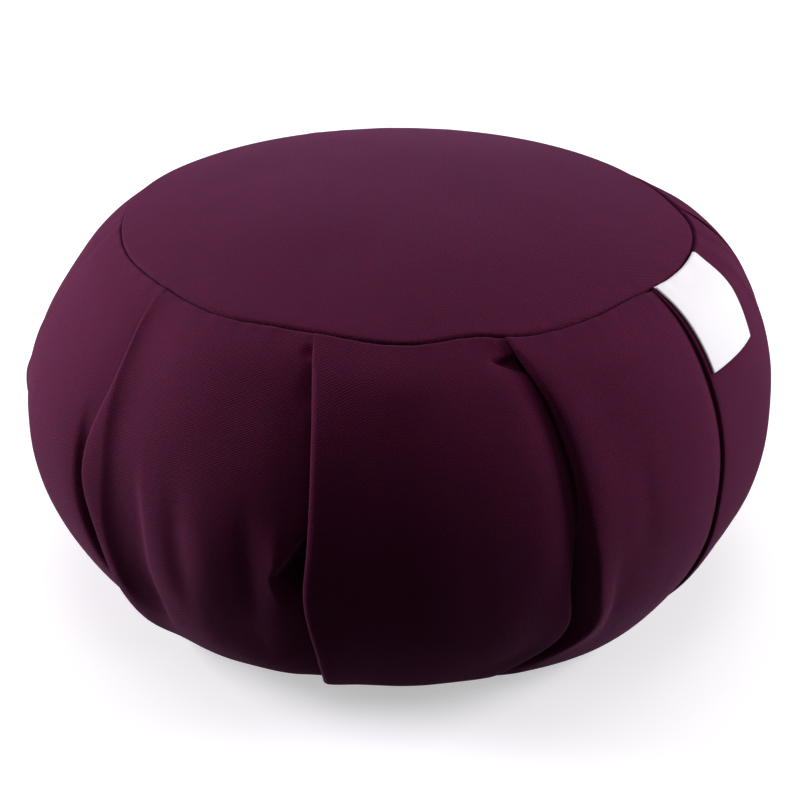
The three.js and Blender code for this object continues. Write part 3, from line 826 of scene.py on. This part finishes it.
def makeTwillGroup():
    # slanting ribs of a twill: a sine across the ribs, broken along each rib by the threads that cross
    # it, with slubs as stretched noise; the fuzz is in the shade alone
    twill = twillShape
    tree, entry, leave = makeGroup(
        "twillWeave",
        [
            ("Vector", "NodeSocketVector", None),
            ("Rib", "NodeSocketFloat", 1.0),
            ("Slub", "NodeSocketFloat", 1.0),
            ("Grain", "NodeSocketFloat", 1.0),
        ],
        [("Height", "NodeSocketFloat"), ("Shade", "NodeSocketFloat")],
    )
    links = tree.links
    split = addNode(tree, "ShaderNodeSeparateXYZ", (-1000, 0))
    links.new(entry.outputs["Vector"], split.inputs[0])
    u = mathNode(tree, "DIVIDE", (-800, 150), split.outputs[0], entry.outputs["Rib"])
    v = mathNode(tree, "DIVIDE", (-800, -50), split.outputs[1], entry.outputs["Rib"])
    slant = mathNode(tree, "MULTIPLY_ADD", (-600, 150), u, twill["slant"], v)
    rib = mathNode(tree, "SINE", (-300, 150), mathNode(tree, "MULTIPLY", (-450, 150), slant, 2 * math.pi))
    warp = mathNode(tree, "SINE", (-450, -50), mathNode(tree, "MULTIPLY", (-600, -50), u, 4 * math.pi))
    weft = mathNode(tree, "SINE", (-450, -150), mathNode(tree, "MULTIPLY", (-600, -150), v, 4 * math.pi))
    cross = mathNode(tree, "MULTIPLY_ADD", (-300, -50), warp, twill["threadShare"], rib)
    cross = mathNode(tree, "MULTIPLY_ADD", (-150, -50), weft, twill["threadShare"], cross)

    def centredNoise(place, scale, vector):
        settings = {"Scale": scale, "Detail": 1.0}
        noise = addNode(tree, "ShaderNodeTexNoise", place, settings, noise_dimensions="2D")
        links.new(vector, noise.inputs["Vector"])
        return mathNode(tree, "SUBTRACT", (place[0] + 200, place[1]), noise.outputs[0], 0.5)

    slubs = []
    for down, stretch in zip((-350, -600), twill["slubScales"]):
        mapping = addNode(tree, "ShaderNodeMapping", (-600, down), {"Scale": stretch})
        links.new(entry.outputs["Vector"], mapping.inputs["Vector"])
        slubs.append(centredNoise((-400, down), 1.0, mapping.outputs[0]))
    slub = mathNode(tree, "ADD", (0, -400), *slubs)
    slub = mathNode(tree, "MULTIPLY", (150, -400), slub, entry.outputs["Slub"])
    fuzz = centredNoise((-600, -850), twill["fuzzScale"], entry.outputs["Vector"])
    fuzz = mathNode(tree, "MULTIPLY", (-200, -850), fuzz, twill["fuzz"])
    grainy = mathNode(tree, "MULTIPLY_ADD", (300, -600), fuzz, entry.outputs["Grain"], slub)
    height = mathNode(tree, "ADD", (200, -150), slub, 0.5)
    height = mathNode(tree, "MULTIPLY_ADD", (350, 0), cross, twill["ribHeight"], height)
    links.new(height, leave.inputs["Height"])
    shade = mathNode(tree, "ADD", (200, -450), grainy, 0.5)
    shade = mathNode(tree, "MULTIPLY_ADD", (350, -300), cross, twill["ribShade"], shade)
    links.new(shade, leave.inputs["Shade"])
    return tree


twillGroup = makeTwillGroup()


def placeWeave(tree, ribMm, slub, grain):
    # the weave group on the piece's own UV map, which is in metres
    uv = addNode(tree, "ShaderNodeUVMap", (-1100, 0), uv_map="clothUv")
    scale = addNode(tree, "ShaderNodeMapping", (-900, 0), {"Scale": (1000, 1000, 1000)})
    tree.links.new(uv.outputs[0], scale.inputs["Vector"])
    weave = addNode(tree, "ShaderNodeGroup", (-650, 0), node_tree=twillGroup)
    weave.inputs["Rib"].default_value = ribMm
    weave.inputs["Slub"].default_value = slub
    weave.inputs["Grain"].default_value = grain
    tree.links.new(scale.outputs[0], weave.inputs["Vector"])
    return weave


def startCloth(name, look):
    # a new material with the weave placed in it, and its relief and plain values on the shader
    material = bpy.data.materials.new(name)
    material.use_nodes = True
    tree = material.node_tree
    shader = tree.nodes["Principled BSDF"]
    weave = placeWeave(tree, look["rib"], look["slub"], look["grain"])
    settings = {"Strength": look["bump"], "Distance": look["bumpHeight"]}
    relief = addNode(tree, "ShaderNodeBump", (-100, -500), settings)
    tree.links.new(weave.outputs["Height"], relief.inputs["Height"])
    tree.links.new(relief.outputs[0], shader.inputs["Normal"])
    for socket, value in look["shader"].items():
        shader.inputs[socket].default_value = value
    return material, tree, shader, weave


def addRamp(tree, place, stops):
    # a colour ramp with a stop for each (position, colour), at least two
    ramp = addNode(tree, "ShaderNodeValToRGB", place)
    elements = ramp.color_ramp.elements
    elements[0].position, elements[0].color = stops[0]
    elements[1].position, elements[1].color = stops[-1]
    for position, colour in stops[1:-1]:
        elements.new(position).color = colour
    return ramp


plumCloth = {
    "stops": (  # deep, usual and worn
        (0.1, (0.045, 0.0022, 0.014, 1)),
        (0.5, (0.073, 0.0050, 0.0255, 1)),
        (0.9, (0.100, 0.0105, 0.041, 1)),
    ),
    "shadeSpan": (0.8, 0.1),  # factor and start for the weave's shade along the stops
    "cool": (0.058, 0.0075, 0.036, 1),  # bluer flecks over the rest
    "coolShare": 0.5,
    "coolSpan": (3.0, -1.0),  # factor and start that sharpen the flecks
    "coolNoise": {"Scale": 130.0, "Detail": 3.0, "Roughness": 0.7},
    "cloudShare": 0.5,  # slow change from darker to lighter
    "cloudNoise": {"Scale": 22.0, "Detail": 4.0, "Roughness": 0.6},
    "rib": 1.1,  # millimetres from rib to rib
    "slub": 0.4,
    "grain": 2.2,
    "bump": 0.8,
    "bumpHeight": 0.0002,
    "shader": {
        "Roughness": 0.95,
        "Specular IOR Level": 0.08,
        "Sheen Weight": 0.12,
        "Sheen Roughness": 0.45,
        "Sheen Tint": (0.55, 0.25, 0.5, 1),
    },
}


def makePlum(look):
    # the weave's shade and a slow cloud pick a plum along the stops, and finer noise cools it
    material, tree, shader, weave = startCloth("plumTwill", look)
    where = addNode(tree, "ShaderNodeTexCoord", (-1100, -500))
    cloud = addNode(tree, "ShaderNodeTexNoise", (-900, -500), look["cloudNoise"])
    patch = addNode(tree, "ShaderNodeTexNoise", (-900, -800), look["coolNoise"])
    for noise in (cloud, patch):
        tree.links.new(where.outputs["Object"], noise.inputs["Vector"])
    shade = mathNode(tree, "MULTIPLY_ADD", (-400, -200), weave.outputs["Shade"], *look["shadeSpan"])
    share = look["cloudShare"]
    cloudy = mathNode(tree, "MULTIPLY_ADD", (-400, -400), cloud.outputs[0], share, -share / 2)
    mixed = mathNode(tree, "ADD", (-250, -300), shade, cloudy, clamp=True)
    ramp = addRamp(tree, (-100, -200), look["stops"])
    tree.links.new(mixed, ramp.inputs[0])
    spread = mathNode(
        tree, "MULTIPLY_ADD", (-400, -800), patch.outputs[0], *look["coolSpan"], clamp=True
    )
    coolness = mathNode(tree, "MULTIPLY", (-250, -800), spread, look["coolShare"])
    blend = addNode(tree, "ShaderNodeMix", (150, -100), data_type="RGBA")
    tree.links.new(coolness, blend.inputs["Factor"])
    tree.links.new(ramp.outputs[0], blend.inputs["A"])
    blend.inputs["B"].default_value = look["cool"]
    tree.links.new(blend.outputs["Result"], shader.inputs["Base Color"])
    return material


whiteCloth = {
    "stops": ((0.0, (0.84, 0.84, 0.84, 1)), (0.55, (0.88, 0.88, 0.875, 1))),
    "rib": 0.7,
    "slub": 0.3,
    "grain": 0.3,
    "bump": 0.25,
    "bumpHeight": 0.0001,
    "shader": {"Roughness": 0.7},
}


def makeWhite(look):
    material, tree, shader, weave = startCloth("whiteLabelCloth", look)
    ramp = addRamp(tree, (-300, 0), look["stops"])
    tree.links.new(weave.outputs["Shade"], ramp.inputs[0])
    tree.links.new(ramp.outputs[0], shader.inputs["Base Color"])
    return material


plum = makePlum(plumCloth)
white = makeWhite(whiteCloth)
for piece in (sidePiece, topPiece, bottomPiece):
    piece.data.materials.append(plum)
labelPiece.data.materials.append(white)
print("materials made")


# what rides on the frame, and what each piece stands for

for piece, node, slot in (
    (sidePiece, "pleated_side", "cover_cloth"),
    (topPiece, "top_panel", "cover_cloth"),
    (bottomPiece, "bottom_panel", "cover_cloth"),
    (labelPiece, "side_label", "label_cloth"),
):
    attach(piece, "root")
    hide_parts(node)


# floor and lights

studio = {
    "floorSize": 12.0,  # metres
    "floor": {
        "Base Color": (0.8, 0.8, 0.8, 1),
        "Roughness": 0.9,
        "Emission Color": (1, 1, 1, 1),
        "Emission Strength": 0.46,
    },
    "world": {"Color": (0.75, 0.75, 1.0, 1), "Strength": 0.04},
    "aim": (0.0, 0.0, 0.1),
}
lamps = (  # name, place and size in metres, power in watts, colour
    ("topLamp", (0.0, 0.35, 1.7), 1.6, 11.5, (1.0, 0.97, 0.96)),
    ("leftLamp", (-1.5, 0.27, 0.5), 0.9, 35.0, (0.97, 0.93, 1.0)),
    ("rightLamp", (1.5, 0.1, 0.6), 0.9, 25.0, (0.97, 0.93, 1.0)),
    ("frontLamp", (0.0, -0.8, 1.7), 0.9, 3.4, (1.0, 0.95, 1.0)),
)


def makeStudio():
    half = studio["floorSize"] / 2
    corners = [(-half, -half, 0), (half, -half, 0), (half, half, 0), (-half, half, 0)]
    mesh = bpy.data.meshes.new("floor")
    mesh.from_pydata(corners, [], [(0, 1, 2, 3)])
    floor = bpy.data.objects.new("floor", mesh)
    scene.collection.objects.link(floor)
    paper = bpy.data.materials.new("paleFloor")
    paper.use_nodes = True
    for socket, value in studio["floor"].items():
        paper.node_tree.nodes["Principled BSDF"].inputs[socket].default_value = value
    mesh.materials.append(paper)
    floor.visible_diffuse = False  # a pale floor would light the cloth from below
    world = bpy.data.worlds.new("studioWorld")
    world.use_nodes = True
    for socket, value in studio["world"].items():
        world.node_tree.nodes["Background"].inputs[socket].default_value = value
    scene.world = world
    for name, place, size, power, colour in lamps:
        data = bpy.data.lights.new(name, "AREA")
        data.shape = "DISK"
        data.size = size
        data.energy = power
        data.color = colour
        lamp = bpy.data.objects.new(name, data)
        lamp.location = place
        lamp.rotation_euler = (Vector(studio["aim"]) - lamp.location).to_track_quat("-Z", "Y").to_euler()
        scene.collection.objects.link(lamp)


makeStudio()
print("studio made")
